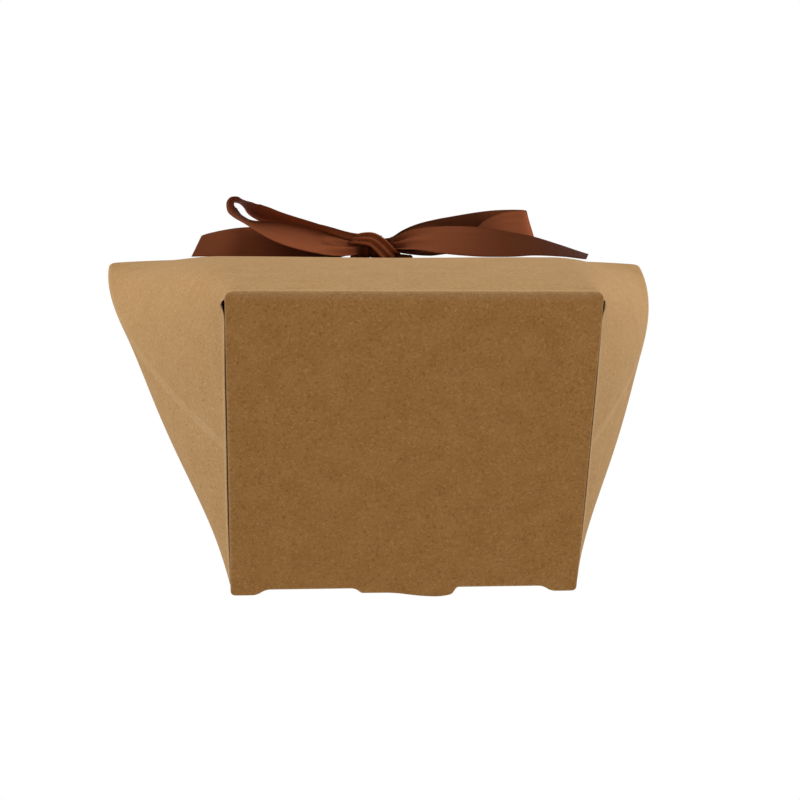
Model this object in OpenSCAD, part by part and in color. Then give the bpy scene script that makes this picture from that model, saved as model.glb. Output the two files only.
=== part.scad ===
// Favor box: a folded kraft board carton with a rectangular base, whose four walls
// close to a flat mouth at the top, and a satin ribbon that runs through four
// punched holes and is tied in a bow on the front.
// Origin at the middle of the base's underside, front towards -Y, mouth upwards.

/* [Carton] */
// Outside width of the carton at its base
carton_w = 86; // [76:1:100]
// Outside depth of the carton at its base
carton_d = 79; // [72:1:90]
// Height of each wall, measured up the board
wall_l = 130; // [115:1:150]
// Thickness of the board
board_t = 0.5; // [0.35:0.05:0.6]
// How far the front and back walls bow outwards
wall_bow = 3.9; // [2:0.1:6]
// How far the lips stand off the folded side edges at the mouth
lip_bow = 1.15; // [0.8:0.05:2.5]
// Half the thickness of the folded side edge
fold_half = 0.75; // [0.65:0.05:1]
// Bend radius of the upright corners at the base
corner_cut = 2.2; // [1:0.1:3]
// Bend radius of the upright corners near the mouth
corner_cut_top = 13; // [8:1:16]
// How far the corner bend leans outwards from base to mouth
corner_lean = 22.5; // [16:0.5:24]
// How far the folded side walls bow outwards, a third of the way up
side_bow = 6; // [2:0.5:8]
// Rounding of the mouth's two outer corners
mouth_round = 2.6; // [1.5:0.1:4]

/* [Base and flaps] */
// Gap between the base panel and the walls beside it
base_gap = 0.4; // [0.3:0.05:0.8]
// Running gap between stacked or hinged layers of board
layer_gap = 0.1; // [0.08:0.01:0.2]
// Gap between a panel's edge and the board that it is hinged to
hinge_gap = 0.2; // [0.15:0.01:0.3]
// Width of each corner shoulder of the base panel
shoulder_w = 8.5; // [6:0.5:11]
// How far the shoulders reach past the tuck crease
shoulder_l = 2.2; // [1.5:0.1:3]
// Width of the thumb tab
tab_w = 24.4; // [16:0.2:30]
// How far the thumb tab reaches past the tuck crease
tab_l = 3.1; // [2:0.1:4]
// Length of the tuck flap
tuck_l = 15; // [12:0.5:18]
// Gap between the tuck flap and each side wall
tuck_side_gap = 2; // [1.5:0.1:4]
// Lean of the tuck flap away from the back wall, in degrees
tuck_lean = 13; // [12:0.5:16]
// Rounding of the tuck flap's free corners
tuck_round = 9; // [5:0.5:10]
// Length of each dust flap
dust_l = 34; // [28:1:35]
// Setback of each dust flap from the front fold
dust_front = 2.5; // [2:0.1:4]
// Setback of each dust flap from the back wall
dust_rear = 5.5; // [5:0.1:8]
// Width of the glue flap
glue_w = 15; // [14:0.5:18]
// Gap between the glue flap and the two ends of its wall
glue_end_gap = 3; // [2.5:0.5:6]
// Thickness of the glue between the glue flap and the back wall
glue_line = 0.1; // [0.08:0.01:0.2]
// Length of the relief notch beside each front corner of the base
notch_l = 2.6; // [1.5:0.1:3.5]
// Height of that notch
notch_h = 1.4; // [0.8:0.1:2]

/* [Ribbon] */
// Width of the ribbon
ribbon_w = 10; // [9:0.5:12]
// Thickness of the ribbon
ribbon_t = 0.4; // [0.3:0.05:0.5]
// Diameter of the punched holes
hole_dia = 5; // [4.5:0.25:6]
// Distance between the two holes of a wall
hole_spacing = 16; // [15:0.5:20]
// Distance of the holes below the lip, straight down
hole_drop = 14.9; // [12:0.1:18]
// Reach of the left loop from the middle of the box
loop_left = 46; // [42:0.5:52]
// How far the left loop stands off the front wall
rise_left = 18; // [16:0.5:20]
// Reach of the right loop from the middle of the box
loop_right = 46; // [42:0.5:52]
// How far the right loop stands off the front wall
rise_right = 15; // [13:0.5:17]
// Reach of the left tail from the middle of the box
tail_left = 55.5; // [50:0.5:62]
// Reach of the right tail from the middle of the box
tail_right = 61; // [56:0.5:68]
// How far the tails stand off the front wall
rise_tail = 7; // [6:0.25:8]
// Width of the knot along the ribbon
knot_w = 9; // [8:0.5:10]
// Diameter of the knot
knot_dia = 7.8; // [7:0.2:8.4]

/* [Hidden] */

kraft = [0.70, 0.55, 0.37];
kraft_shade = [0.62, 0.46, 0.30];
satin = [0.40, 0.20, 0.13];

// Overrun of every cut past the face that it opens
cut_over = 1;
// Straight height of the carton, from the length of its leaning walls
carton_h = sqrt(wall_l * wall_l - carton_d * carton_d / 4);
// Half girth: the flat mouth is as wide as one width and one depth together
mouth_half = (carton_w + carton_d) / 2;
// How fast the side edges flare out near the base
flare_power = 1.65;
// Rows of facets up each wall
wall_rows = 14;
// Width of the hollow that the tied ribbon pulls into the lips
pinch_w = 25;

// Heights of the folded edges: the base panel lies lowest, the flaps on top of it
dust_z = board_t + layer_gap;
side_z = dust_z;
back_z = board_t + 3 * layer_gap;

function ridge_x(v) = carton_w / 2 + carton_d / 2 * (1 - pow(1 - v, flare_power));
function half_depth(v) = let (lip = fold_half + lip_bow)
    lip + (carton_d / 2 - lip) * (1 - v) + 4 * wall_bow * v * (1 - v);
function corner_x(v) = carton_w / 2 + corner_lean * v;
function cut_at(v) = corner_cut + (corner_cut_top - corner_cut) * (1 - pow(1 - v, 2));
// Largest a third of the way up, and nought at the base and the mouth
function side_bow_at(v) = side_bow * 27 / 4 * v * pow(1 - v, 2);
// The ribbon draws the lips together in the middle of the mouth
function pinch(x, v) = (lip_bow - board_t / 2) * pow(v, 3) * exp(-pow(x / pinch_w, 2));

function unit2(p) = p / norm(p);

// One point of a wall's outer face, with the outward direction of the board there.
// v runs from the base to the mouth. k is 0 at the middle of the wall, 1 where the
// corner bend starts, 2 where it ends, 3 at the folded side edge and 4 on its middle.
function ring_at(k, v) = let (
        x = corner_x(v), y = -half_depth(v), c = cut_at(v),
        corner = [x, y], edge = [ridge_x(v), -fold_half],
        span = edge - corner, across = unit2(span),
        pull = corner + (1 + pow(c / norm(span), 2)) / 2 * span
            + side_bow_at(v) * [across[1], -across[0]],
        way = unit2(pull - corner), start = corner + c * way)
    k <= 1 ? [[k * (x - c), y], [0, -1]] :
    k <= 2 ? let (b = k - 1, run = (1 - b) * [1, 0] + b * way, n = unit2([run[1], -run[0]]))
        [corner + pow(1 - b, 2) * [-c, 0] + b * b * c * way, n] :
    k <= 3 ? let (b = k - 2, run = unit2((1 - b) * (pull - start) + b * (edge - pull)),
            n = [run[1], -run[0]])
        [pow(1 - b, 2) * start + 2 * b * (1 - b) * pull + b * b * edge,
            k < 3 ? n : ([1, 0] + n) / (1 + run[1])] :
    [[edge[0], 0], [1, 0]];

// Height of the wall's upper edge: straight, and rounded off at the outer corners
function top_z(x) = let (over = x - (mouth_half - mouth_round))
    over <= 0 ? carton_h :
    carton_h - mouth_round + sqrt(max(0, mouth_round * mouth_round - over * over));

// A point of the board, as deep as is asked below its outer face.
// sx and sy are the signs of the quarter: right or left, back or front.
function board_at(k, v, depth, sx, sy) = let (
        r = ring_at(k, v), p = r[0] - depth * r[1],
        z = v * carton_h, lid = top_z(ring_at(k, 1)[0][0]))
    [sx * p[0], sy * max(0, -p[1] - pinch(p[0], v)), min(z, lid)];

// A wall as one closed sheet: a grid of outer points, the same grid further in,
// and a rim that joins them
function grid_faces(rows, cols, turn) = let (
        n = rows * cols,
        at = function(i, j, s) s * n + i * cols + j,
        quads = concat(
            [for (i = [0 : rows - 2], j = [0 : cols - 2])
                [at(i, j, 0), at(i + 1, j, 0), at(i + 1, j + 1, 0), at(i, j + 1, 0)]],
            [for (i = [0 : rows - 2], j = [0 : cols - 2])
                [at(i, j, 1), at(i, j + 1, 1), at(i + 1, j + 1, 1), at(i + 1, j, 1)]],
            [for (j = [0 : cols - 2])
                [at(0, j, 0), at(0, j + 1, 0), at(0, j + 1, 1), at(0, j, 1)]],
            [for (j = [0 : cols - 2])
                [at(rows - 1, j, 0), at(rows - 1, j, 1), at(rows - 1, j + 1, 1),
                    at(rows - 1, j + 1, 0)]],
            [for (i = [0 : rows - 2])
                [at(i, 0, 0), at(i, 0, 1), at(i + 1, 0, 1), at(i + 1, 0, 0)]],
            [for (i = [0 : rows - 2])
                [at(i, cols - 1, 0), at(i + 1, cols - 1, 0), at(i + 1, cols - 1, 1),
                    at(i, cols - 1, 1)]]))
    [for (q = quads, half = [[0, 1, 2], [0, 2, 3]])
        turn ? [q[half[0]], q[half[1]], q[half[2]]] : [q[half[2]], q[half[1]], q[half[0]]]];

function heights(low, high) = [for (i = [0 : wall_rows])
    i == 0 ? low / carton_h : i == wall_rows ? 1 - high / carton_h : i / wall_rows];

// ks lists the places round the wall, each with its own side sign
module wall_sheet(ks, sy, low) {
    vs = heights(low, 0);
    outer = [for (v = vs, k = ks) board_at(abs(k), v, 0, sign(k), sy)];
    inner = [for (v = vs, k = ks) board_at(abs(k), v, board_t, sign(k), sy)];
    polyhedron(concat(outer, inner), grid_faces(len(vs), len(ks), sy < 0));
}

// Places round a wall. A place near nought keeps its sign for the left or right half.
bend_shares = [1, 1.17, 1.34, 1.5];
side_shares = [1.5, 1.67, 1.84, 2, 2.25, 2.5, 2.75, 2.92, 2.97, 3, 4];
middle_shares = [0.001, 0.25, 0.6];
wall_half_shares = concat(middle_shares, bend_shares);
wall_shares = concat([for (i = [len(wall_half_shares) - 1 : -1 : 0]) -wall_half_shares[i]],
    wall_half_shares);

// The bow's own place: on the front wall, between the holes
bow_v = 1 - hole_drop / carton_h;
bow_y = -half_depth(bow_v) + pinch(0, bow_v);
bow_z = bow_v * carton_h;
// The wall's lean where the holes are punched, and the bow's, which stands a little freer
hole_lean = atan((half_depth(bow_v) - half_depth(1)) / hole_drop);
bow_lean = 19;
up = [0, sin(bow_lean), cos(bow_lean)];
out = [0, -cos(bow_lean), sin(bow_lean)];

module hole_pair(sy) {
    for (sx = [-1, 1])
        translate([sx * hole_spacing / 2, -sy * bow_y, bow_z])
            rotate([sy * (90 - hole_lean), 0, 0])
                cylinder(d = hole_dia, h = 4 * cut_over + 2 * board_t, center = true, $fn = 32);
}

module front_panel() {
    color(kraft) difference() {
        wall_sheet(wall_shares, -1, 0);
        hole_pair(-1);
    }
}

module back_panel() {
    color(kraft) difference() {
        wall_sheet(wall_shares, 1, back_z);
        hole_pair(1);
    }
}

// A side wall folds along its middle, so each side is two halves
module side_half(sx, sy) {
    n = len(side_shares);
    ks = sx > 0 ? side_shares : [for (i = [n - 1 : -1 : 0]) -side_shares[i]];
    notch_y = carton_d / 2 - corner_cut;
    color(kraft) difference() {
        wall_sheet(ks, sy, side_z);
        if (sy < 0)
            translate([sx * carton_w / 2, -notch_y, side_z])
                rotate([90, 0, 90])
                    linear_extrude(height = 4 * cut_over, center = true)
                        polygon([[0, -cut_over], [0, 0], [notch_l / 2, notch_h],
                            [notch_l, 0], [notch_l, -cut_over]]);
    }
}

module side_left_front() { side_half(-1, -1); }
module side_left_back() { side_half(-1, 1); }
module side_right_front() { side_half(1, -1); }
module side_right_back() { side_half(1, 1); }

// The glue flap runs on from the left side wall, round the corner bend, and is glued
// to the inside of the back wall
module glue_flap() {
    vs = heights(glue_end_gap, glue_end_gap);
    bends = [for (i = [len(bend_shares) - 1 : -1 : 0]) bend_shares[i]];
    strip = function(depth) [for (v = vs)
        let (end = (corner_x(v) - glue_w) / (corner_x(v) - cut_at(v)))
        each [for (k = concat(bends, [end])) board_at(k, v, depth, -1, 1)]];
    face = board_t + glue_line;
    color(kraft_shade)
        polyhedron(concat(strip(face), strip(face + board_t)),
            grid_faces(len(vs), len(bends) + 1, false));
}

// Rounds one corner of an outline
function rounded(a, b, c, r) = let (u = (a - b) / norm(a - b), w = (c - b) / norm(c - b))
    [for (i = [0 : 4]) let (t = i / 4)
        b + pow(1 - t, 2) * r * u + pow(t, 2) * r * w];
function rounded_outline(pts, radii) = [for (i = [0 : len(pts) - 1])
    each radii[i] == 0 ? [pts[i]] :
        rounded(pts[(i + len(pts) - 1) % len(pts)], pts[i], pts[(i + 1) % len(pts)], radii[i])];

// The base panel: hinged on the front wall, with a tuck crease behind, a shoulder
// past the crease at each end, and a thumb tab in the middle
base_front = -carton_d / 2 + board_t + hinge_gap;
tuck_crease = carton_d / 2 - 2 * board_t - base_gap / 2;
base_half = carton_w / 2 - base_gap;
base_round = corner_cut;

module base_panel() {
    s = base_half - shoulder_w;
    tab = tab_w / 2;
    edge = tuck_crease + board_t / 2;
    right = [[s, edge], [s, tuck_crease + shoulder_l],
        [base_half, tuck_crease + shoulder_l], [base_half, base_front]];
    half = [[tab, tuck_crease + tab_l], [tab, edge], right[0], right[1], right[2], right[3]];
    radii = [shoulder_l / 2, 0, 0, shoulder_l / 2, shoulder_l / 2, base_round];
    n = len(half);
    pts = concat(half, [for (i = [n - 1 : -1 : 0]) [-half[i][0], half[i][1]]]);
    rs = concat(radii, [for (i = [n - 1 : -1 : 0]) radii[i]]);
    color(kraft_shade)
        linear_extrude(height = board_t) polygon(rounded_outline(pts, rs));
}

// The tuck flap stands on the crease and leans inwards along the back wall
module tuck_flap() {
    half = carton_w / 2 - board_t - tuck_side_gap;
    slit = base_half - shoulder_w;
    tab = tab_w / 2 + hinge_gap;
    lift = layer_gap;
    outline_half = [[tab, tab_l], [tab, 0], [slit, 0], [slit, lift], [half, lift],
        [half - tuck_round / 4, tuck_l]];
    radii = [shoulder_l / 2, 0, 0, 0, 0, tuck_round];
    n = len(outline_half);
    pts = concat(outline_half,
        [for (i = [n - 1 : -1 : 0]) [-outline_half[i][0], outline_half[i][1]]]);
    rs = concat(radii, [for (i = [n - 1 : -1 : 0]) radii[i]]);
    color(kraft_shade)
        translate([0, tuck_crease - board_t / 2, board_t + layer_gap])
            rotate([90 + tuck_lean, 0, 0])
                linear_extrude(height = board_t, center = true)
                    polygon(rounded_outline(pts, rs));
}

// Each dust flap is cut back at a slant along the front, where the base panel
// swings past it
module dust_flap(sx) {
    root = carton_w / 2 - board_t - hinge_gap;
    tip = root - dust_l;
    front = -carton_d / 2 + dust_front;
    rear = carton_d / 2 - dust_rear;
    slant_share = 0.62;
    taper_share = 0.16;
    tip_round = dust_rear;
    pts = [[root, front], [root, rear], [tip, rear - taper_share * dust_l],
        [tip, front + slant_share * dust_l]];
    color(kraft_shade)
        translate([0, 0, dust_z])
            linear_extrude(height = board_t)
                polygon(rounded_outline([for (p = pts) [sx * p[0], p[1]]],
                    [0, 0, tip_round, tip_round]));
}

module dust_flap_left() { dust_flap(-1); }
module dust_flap_right() { dust_flap(1); }

// A length of ribbon is a row of stations: where it is, how far its width is turned,
// and how much it is gathered. Smooth curves run through the stations.
function mix4(a, b, c, d, t) = 0.5 * (2 * b + (c - a) * t
    + (2 * a - 5 * b + 4 * c - d) * t * t + (3 * b - a - 3 * c + d) * t * t * t);
function station(st, s) = let (
        n = len(st) - 1, i = min(floor(s), n - 1), t = s - i,
        b = st[i], c = st[i + 1],
        a = i > 0 ? st[i - 1] : 2 * b - c,
        d = i + 2 <= n ? st[i + 2] : 2 * c - b)
    mix4(a, b, c, d, t);
function unit3(p) = p / norm(p);
function place_of(q) = [q[0], q[1], q[2]];

// Width and thickness directions at a station, from the direction of the ribbon and
// the reference that its width is turned from
function width_way(run, ref, roll) = let (r = unit3(ref - (ref * run) * run))
    cos(roll) * r + sin(roll) * cross(r, run);

module ribbon(st, ref, rings, thick = ribbon_t, skew = 0) {
    last = len(st) - 1;
    step = last / rings;
    corners = [for (i = [0 : rings]) let (
            s = i * step, q = station(st, s),
            near = station(st, max(0, s - step / 8)),
            far = station(st, min(last, s + step / 8)),
            run = unit3(place_of(far) - place_of(near)),
            w = width_way(run, ref, q[3]) * ribbon_w / 2 * q[4],
            n = unit3(cross(run, w)) * thick / 2,
            k = i == rings ? skew * run : [0, 0, 0])
        each [place_of(q) + w + n + k, place_of(q) + w - n + k,
            place_of(q) - w - n - k, place_of(q) - w + n - k]];
    side = [for (i = [0 : rings - 1], j = [0 : 3]) let (
            a = 4 * i + j, b = 4 * i + (j + 1) % 4, c = b + 4, d = a + 4)
        each [[a, b, c], [a, c, d]]];
    ends = [[3, 2, 1], [3, 1, 0], [4 * rings, 4 * rings + 1, 4 * rings + 2],
        [4 * rings, 4 * rings + 2, 4 * rings + 3]];
    color(satin) polyhedron(corners, concat(side, ends));
}

// Stations of the bow, as shares: across, of the way from the knot to the full reach;
// up the wall, of the ribbon's width; off the wall, of the rise; then the turn in
// degrees and the gathering
loop_left_shares = [
    [0, -0.08, 0.20, 30, 0.45], [0.133, -0.13, 0.217, 40, 0.70], [0.307, -0.12, 0.29, 43, 1],
    [0.50, -0.09, 0.38, 42, 1], [0.648, -0.06, 0.47, 34, 1], [0.76, -0.04, 0.545, 20, 1],
    [0.835, -0.02, 0.605, 11, 1], [0.884, 0, 0.66, 10, 1], [0.925, 0.01, 0.719, 12, 1],
    [0.955, 0.03, 0.792, 16, 1], [0.963, 0.05, 0.873, 17, 1], [0.957, 0.07, 0.93, 14, 1],
    [0.938, 0.09, 0.961, 9, 1], [0.91, 0.12, 0.955, 7, 1], [0.878, 0.15, 0.932, 9, 1],
    [0.84, 0.18, 0.887, 16, 1], [0.80, 0.22, 0.826, 25, 1], [0.73, 0.29, 0.749, 29, 1],
    [0.63, 0.34, 0.665, 28, 1], [0.53, 0.36, 0.593, 28, 1], [0.417, 0.35, 0.518, 28, 1],
    [0.305, 0.30, 0.452, 26, 1], [0.19, 0.22, 0.397, 22, 0.88], [0.09, 0.11, 0.362, 16, 0.65],
    [0, 0, 0.35, 10, 0.45]];
loop_right_shares = [
    [0, -0.03, 0.293, 25, 0.45], [0.13, -0.07, 0.295, 38, 0.75], [0.26, -0.11, 0.30, 50, 1],
    [0.40, -0.14, 0.31, 58, 1], [0.55, -0.14, 0.34, 57, 1], [0.639, -0.12, 0.445, 47, 1],
    [0.72, -0.10, 0.57, 32, 1], [0.80, -0.08, 0.64, 21, 1], [0.878, -0.05, 0.665, 16, 1],
    [0.94, 0.03, 0.67, 16, 1], [0.975, 0.14, 0.67, 17, 1], [0.985, 0.27, 0.675, 18, 1],
    [0.968, 0.42, 0.69, 19, 1], [0.92, 0.56, 0.70, 19, 1], [0.84, 0.66, 0.70, 19, 1],
    [0.73, 0.71, 0.685, 19, 1], [0.60, 0.70, 0.637, 18, 1], [0.46, 0.65, 0.568, 17, 1],
    [0.33, 0.56, 0.50, 16, 1], [0.20, 0.43, 0.433, 15, 0.93], [0.09, 0.30, 0.362, 10, 0.74],
    [0, 0.19, 0.307, 5, 0.45]];
tail_left_shares = [
    [0, 0.16, 0.56, 42, 0.42], [0.112, 0.61, 0.58, 55, 0.9], [0.314, 0.76, 0.66, 62, 1],
    [0.516, 0.77, 0.73, 64, 1], [0.685, 0.78, 0.735, 63, 1], [0.82, 0.77, 0.68, 54, 1],
    [1, 0.79, 0.54, 36, 1]];
tail_right_shares = [
    [0, -0.19, 0.58, -60, 0.38], [0.105, -0.45, 0.71, -60, 0.86], [0.21, -0.58, 0.79, -63, 1],
    [0.421, -0.68, 0.79, -62, 1], [0.61, -0.71, 0.68, -46, 1], [0.716, -0.72, 0.63, -35, 1],
    [0.863, -0.73, 0.43, -21, 1], [1, -0.74, 0.18, -11, 1]];
// Slant of each tail's cut end, as a share of the ribbon's width
cut_skew_left_share = -0.16;
cut_skew_right_share = 0.11;

// The knot is a short barrel round the ribbon, a little left of the middle. Every
// length of ribbon stops just short of its end faces.
knot_x = -knot_w / 6;
knot_end_share = 0.84;
knot_out = knot_dia / 2 + board_t;
knot_gap = ribbon_t / 2;
function knot_face(sx) = knot_x + sx * (knot_w / 2 + knot_gap);

function bow_place(x, u, o) = [0, bow_y, bow_z] + [x, 0, 0] + u * up + o * out;
// The ribbon leaves the knot's face squarely
neck_share = 0.025;
function neck(q) = concat([neck_share], [for (i = [1 : 4]) q[i]]);
function with_necks(shares) = let (n = len(shares) - 1, comes_back = shares[n][0] == 0)
    concat([shares[0], neck(shares[0])], [for (i = [1 : comes_back ? n - 1 : n]) shares[i]],
        comes_back ? [neck(shares[n]), shares[n]] : []);
function bow_stations(shares, sx, reach, rise) = [for (q = with_necks(shares))
    let (x = knot_face(sx) + q[0] * (sx * reach - knot_face(sx)))
    concat(bow_place(x, q[1] * ribbon_w, q[2] * rise), [q[3], q[4]])];

module bow_loop_left() {
    ribbon(bow_stations(loop_left_shares, -1, loop_left, rise_left), up, 52);
}
module bow_loop_right() {
    ribbon(bow_stations(loop_right_shares, 1, loop_right, rise_right), out, 46);
}
module bow_tail_left() {
    ribbon(bow_stations(tail_left_shares, -1, tail_left, rise_tail), up, 21,
        skew = cut_skew_left_share * ribbon_w);
}
module bow_tail_right() {
    ribbon(bow_stations(tail_right_shares, 1, tail_right, rise_tail), up, 24,
        skew = cut_skew_right_share * ribbon_w);
}

module bow_knot() {
    r = knot_dia / 2;
    profile = [for (i = [0 : 8]) let (t = i / 4 - 1)
        [r * (1 - (1 - knot_end_share) * t * t), t * knot_w / 2]];
    color(satin)
        translate(bow_place(knot_x, 0, knot_out))
            rotate([0, 90, 0])
                rotate_extrude($fn = 32)
                    polygon(concat([[0, -knot_w / 2]], profile, [[0, knot_w / 2]]));
}

// Behind the box the ribbon lies across the back wall from hole to hole, and a
// gathered strand runs from there through both walls, and under the bow to the knot
strand_share = 0.38;
strand_t = 2 * ribbon_t;
back_gap = board_t / 2;

module ribbon_back_span() {
    x = hole_spacing / 2;
    // Shares of the half spacing, and of how far the ribbon stands off the wall
    span_shares = [[1, 0.3, strand_share], [0.94, 0.8, 0.5], [0.68, 1, 0.85], [0.3, 1, 1],
        [0, 1, 1]];
    rise = 3 * back_gap + ribbon_t;
    half = [for (q = span_shares) [q[0] * x, -bow_y + q[1] * rise, bow_z, 0, q[2]]];
    n = len(half);
    ribbon(concat(half, [for (i = [n - 2 : -1 : 0])
        [-half[i][0], half[i][1], half[i][2], half[i][3], half[i][4]]]),
        [0, -sin(bow_lean), cos(bow_lean)], 24);
}

module ribbon_strand(sx) {
    x = sx * hole_spacing / 2;
    low_out = board_t + strand_t;
    back = [x, -bow_y, bow_z];
    front = [x, bow_y, bow_z];
    end = bow_place(knot_face(sx), 0, low_out);
    bend = bow_place(x, 0, low_out * 2 / 3);
    st = [for (p = [back, (back + front) / 2, front, bend, end])
        concat(p, [0, strand_share])];
    ribbon(st, up, 16, strand_t);
}

module ribbon_strand_left() { ribbon_strand(-1); }
module ribbon_strand_right() { ribbon_strand(1); }

front_panel();
back_panel();
side_left_front();
side_left_back();
side_right_front();
side_right_back();
glue_flap();
base_panel();
tuck_flap();
dust_flap_left();
dust_flap_right();
ribbon_back_span();
ribbon_strand_left();
ribbon_strand_right();
bow_knot();
bow_loop_left();
bow_loop_right();
bow_tail_left();
bow_tail_right();
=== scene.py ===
import math
from functools import partial

import bmesh
import bpy
import numpy as np
from mathutils import Matrix, Vector
from mathutils.geometry import delaunay_2d_cdt


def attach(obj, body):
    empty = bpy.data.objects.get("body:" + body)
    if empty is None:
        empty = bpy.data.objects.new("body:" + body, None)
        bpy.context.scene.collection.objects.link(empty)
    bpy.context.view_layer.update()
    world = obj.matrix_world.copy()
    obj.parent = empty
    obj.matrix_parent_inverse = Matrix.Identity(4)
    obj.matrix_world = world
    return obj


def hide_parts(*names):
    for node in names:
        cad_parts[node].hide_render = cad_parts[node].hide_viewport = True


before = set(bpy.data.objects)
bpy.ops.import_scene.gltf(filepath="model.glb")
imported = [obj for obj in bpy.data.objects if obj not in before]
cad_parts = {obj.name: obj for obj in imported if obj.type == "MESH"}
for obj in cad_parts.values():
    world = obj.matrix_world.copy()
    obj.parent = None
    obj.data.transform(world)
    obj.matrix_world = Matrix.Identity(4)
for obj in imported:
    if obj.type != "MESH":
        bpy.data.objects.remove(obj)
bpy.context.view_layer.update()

for spare in ("Cube", "Light", "Camera"):
    if spare in bpy.data.objects:
        bpy.data.objects.remove(bpy.data.objects[spare])

MM = 0.001

# The carton, with the same driving sizes and the same curves as the CAD walls
CARTON_W = 86 * MM
CARTON_D = 79 * MM
WALL_L = 130 * MM
BOARD_T = 0.5 * MM
WALL_BOW = 3.9 * MM
LIP_BOW = 1.15 * MM
FOLD_HALF = 0.75 * MM
CORNER_CUT = 2.2 * MM
CORNER_CUT_TOP = 13 * MM
CORNER_LEAN = 22.5 * MM
SIDE_BOW = 6 * MM
MOUTH_ROUND = 2.6 * MM
FLARE_POWER = 1.65
PINCH_W = 25 * MM
CARTON_H = math.sqrt(WALL_L**2 - CARTON_D**2 / 4)
MOUTH_HALF = (CARTON_W + CARTON_D) / 2

# The base and its flaps
BASE_GAP = 0.4 * MM
LAYER_GAP = 0.1 * MM
HINGE_GAP = 0.2 * MM
SHOULDER_W = 8.5 * MM
SHOULDER_L = 2.2 * MM
TAB_W = 24.4 * MM
TAB_L = 3.1 * MM
TUCK_L = 15 * MM
TUCK_SIDE_GAP = 2 * MM
TUCK_LEAN = math.radians(13)
TUCK_ROUND = 9 * MM
DUST_L = 34 * MM
DUST_FRONT = 2.5 * MM
DUST_REAR = 5.5 * MM
DUST_LEAN_FRONT = 0.62
DUST_LEAN_REAR = 0.16
GLUE_W = 15 * MM
GLUE_END_GAP = 3 * MM
GLUE_LINE = 0.1 * MM
NOTCH_L = 2.6 * MM
NOTCH_H = 1.4 * MM
NOTCH_OUT = 0.7 * MM
NOTCH_RISE = 5 * MM
DUST_Z = SIDE_Z = BOARD_T + LAYER_GAP
BACK_Z = BOARD_T + 3 * LAYER_GAP
TUCK_CREASE = CARTON_D / 2 - 2 * BOARD_T - BASE_GAP / 2
BASE_HALF = CARTON_W / 2 - BASE_GAP / 4

# The ribbon and its bow
RIBBON_W = 10 * MM
RIBBON_T = 0.28 * MM
HOLE_DIA = 5 * MM
HOLE_SPACING = 16 * MM
HOLE_DROP = 14.9 * MM
LOOP_LEFT = 46 * MM
RISE_LEFT = 18 * MM
LOOP_RIGHT = 46 * MM
RISE_RIGHT = 15 * MM
TAIL_LEFT = 55.5 * MM
TAIL_RIGHT = 61 * MM
RISE_TAIL = 7 * MM
KNOT_W = 9 * MM
BOW_LEAN = math.radians(19)

# How a folded edge is rounded: its outer radius, and where the hinge line cuts the bend
FOLD_R = BOARD_T
FOLD_TURN = math.radians(45)
FOLD_END = FOLD_R * FOLD_TURN
HINGE_R = FOLD_R * (1 - math.sqrt(0.5))
CUT_ROUND = 0.08 * MM

# A cut edge's rows, as shares of the thickness, and how far its normals lean outwards
RIM_SHARES = (0.15, 0.5, 0.85)
RIM_LEAN = 0.9

# Steps for slopes, round the carton and on the flat board, and what counts as the same spot
STEP_K = 1e-3
STEP_FLAT = 1e-5
SAME = 1e-6


def unit(p):
    """Vectors, each brought to length 1."""
    return p / np.linalg.norm(p, axis=-1, keepdims=True)


def ridge_x(v):
    """Where the folded side edge is at height share v."""
    return CARTON_W / 2 + CARTON_D / 2 * (1 - np.clip(1 - v, 0, 1) ** FLARE_POWER)


def half_depth(v):
    """How far the front and back walls stand from the middle at height share v."""
    lip = FOLD_HALF + LIP_BOW
    return lip + (CARTON_D / 2 - lip) * (1 - v) + 4 * WALL_BOW * v * (1 - v)


def pinch(x, v):
    """How far the ribbon draws the walls together."""
    return (LIP_BOW - BOARD_T / 2) * v**3 * np.exp(-((x / PINCH_W) ** 2))


def corner_cut(v):
    """How far from the corner its bend starts. It widens from the foot to the mouth."""
    return CORNER_CUT + (CORNER_CUT_TOP - CORNER_CUT) * (1 - (1 - v) ** 2)


def bend(a, pull, b, s):
    """A point of the curve that leaves a towards pull and comes into b from there."""
    s = s[..., None]
    return (1 - s) ** 2 * a + 2 * s * (1 - s) * pull + s**2 * b


def ring(k, v):
    """The outline of the carton at height share v. k is 0 at the middle of a wall, 1 and 2
    where the corner bend starts and ends, 3 just before the folded side edge, 4 on it."""
    corner = np.stack([CARTON_W / 2 + CORNER_LEAN * v, -half_depth(v)], -1)
    edge = np.stack([ridge_x(v), np.full_like(v, -FOLD_HALF)], -1)
    cut = corner_cut(v)[..., None]
    span = np.linalg.norm(edge - corner, axis=-1, keepdims=True)
    along = (edge - corner) / span
    side_bow = SIDE_BOW * 27 / 4 * v * (1 - v) ** 2
    aside = np.stack([along[..., 1], -along[..., 0]], -1)
    pull = corner + (1 + (cut / span) ** 2) / 2 * (edge - corner) + side_bow[..., None] * aside
    start = corner + cut * unit(pull - corner)
    flat_end = corner - cut * np.array([1.0, 0.0])
    flat = np.stack([k * flat_end[..., 0], flat_end[..., 1]], -1)
    rounded = bend(flat_end, corner, start, np.clip(k - 1, 0, 1))
    fold_share = FOLD_HALF / np.linalg.norm(edge - start, axis=-1)
    side_share = np.clip(k - 2, 0, 1) * (1 - fold_share)
    side = bend(start, pull, edge, side_share)
    last = bend(start, pull, edge, 1 - fold_share)
    ridge = np.stack([edge[..., 0], np.zeros_like(v)], -1)
    folded = bend(last, edge, ridge, np.clip(k - 3, 0, 1))
    k = k[..., None]
    return np.where(k <= 1, flat, np.where(k <= 2, rounded, np.where(k <= 3, side, folded)))


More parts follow.
